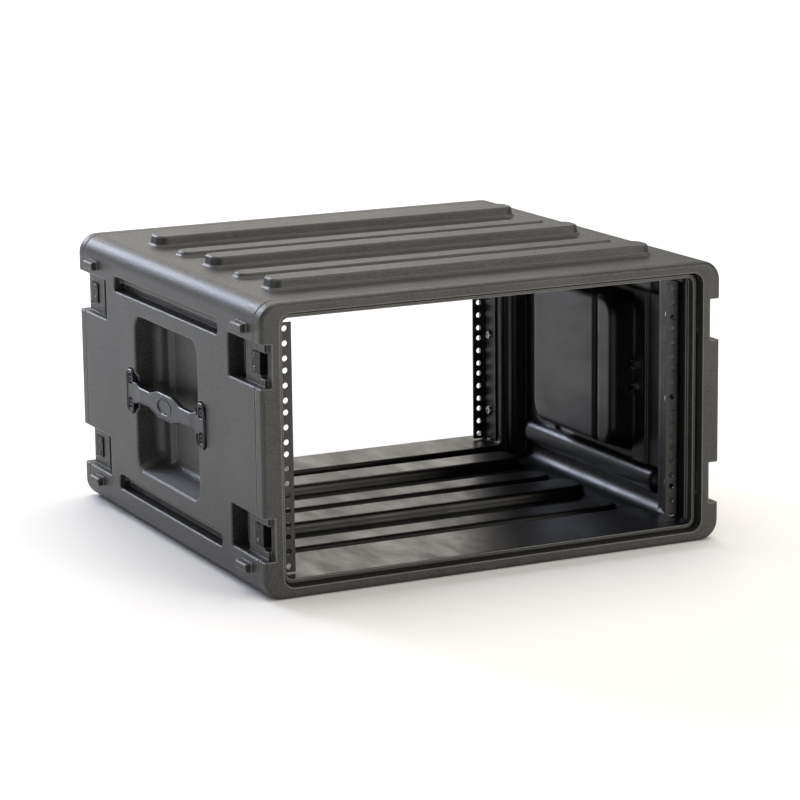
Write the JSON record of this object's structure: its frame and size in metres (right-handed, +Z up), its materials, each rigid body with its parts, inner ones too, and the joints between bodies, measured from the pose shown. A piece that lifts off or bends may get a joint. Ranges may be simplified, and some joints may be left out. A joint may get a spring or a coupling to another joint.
{
  "type": "rack case",
  "caption": "Moulded shock-resistant case with steel rack rails at both open ends, strap handles at the sides and stacking ribs on top.",
  "frame": {"origin": "centre of the footprint, on the surface the case stands on", "axes": "+X to the right seen from the front, -Y out of the front opening, +Z up"},
  "size_m": [0.563, 0.5286, 0.3245],
  "materials": {
    "shell": "pebbled moulded polyethylene",
    "seal": "matt",
    "rail": "black powder coat",
    "zinc": "bright zinc plate",
    "brass_insert": "plain",
    "strap": "semi-gloss flexible plastic",
    "keeper": "dark plated steel",
    "screw_black": "black oxide"
  },
  "bodies": {
    "case": {"case_shell": "shell", "rim_seal_front": "seal", "rim_seal_rear": "seal", "rail_front_right": "rail", "rail_screws_front_right": "zinc", "rail_inserts_front_right": "brass_insert", "handle_end_front_right": "strap", "handle_backing_plate_front_right": "rail", "latch_keeper_front_right_lower": "keeper", "latch_keeper_front_right_upper": "keeper", "keeper_rivets_front_right": "zinc", "rail_rear_right": "rail", "rail_screws_rear_right": "zinc", "rail_inserts_rear_right": "brass_insert", "handle_end_rear_right": "strap", "handle_backing_plate_rear_right": "rail", "latch_keeper_rear_right_lower": "keeper", "latch_keeper_rear_right_upper": "keeper", "keeper_rivets_rear_right": "zinc", "handle_screws_right": "screw_black", "handle_washers_right": "zinc", "handle_nuts_right": "zinc", "rail_front_left": "rail", "rail_screws_front_left": "zinc", "rail_inserts_front_left": "brass_insert", "handle_end_front_left": "strap", "handle_backing_plate_front_left": "rail", "latch_keeper_front_left_lower": "keeper", "latch_keeper_front_left_upper": "keeper", "keeper_rivets_front_left": "zinc", "rail_rear_left": "rail", "rail_screws_rear_left": "zinc", "rail_inserts_rear_left": "brass_insert", "handle_end_rear_left": "strap", "handle_backing_plate_rear_left": "rail", "latch_keeper_rear_left_lower": "keeper", "latch_keeper_rear_left_upper": "keeper", "keeper_rivets_rear_left": "zinc", "handle_screws_left": "screw_black", "handle_washers_left": "zinc", "handle_nuts_left": "zinc"},
    "grip_left": {"handle_grip_left": "strap"},
    "grip_right": {"handle_grip_right": "strap"}
  },
  "joints": [
    {"name": "grip_left_bow", "type": "slide", "parent": "case", "child": "grip_left", "axis": [-1, 0, 0], "range_m": [0, 0.02], "stiffness_N_per_m": 400},
    {"name": "grip_right_bow", "type": "slide", "parent": "case", "child": "grip_right", "axis": [1, 0, 0], "range_m": [0, 0.02], "stiffness_N_per_m": 400}
  ]
}
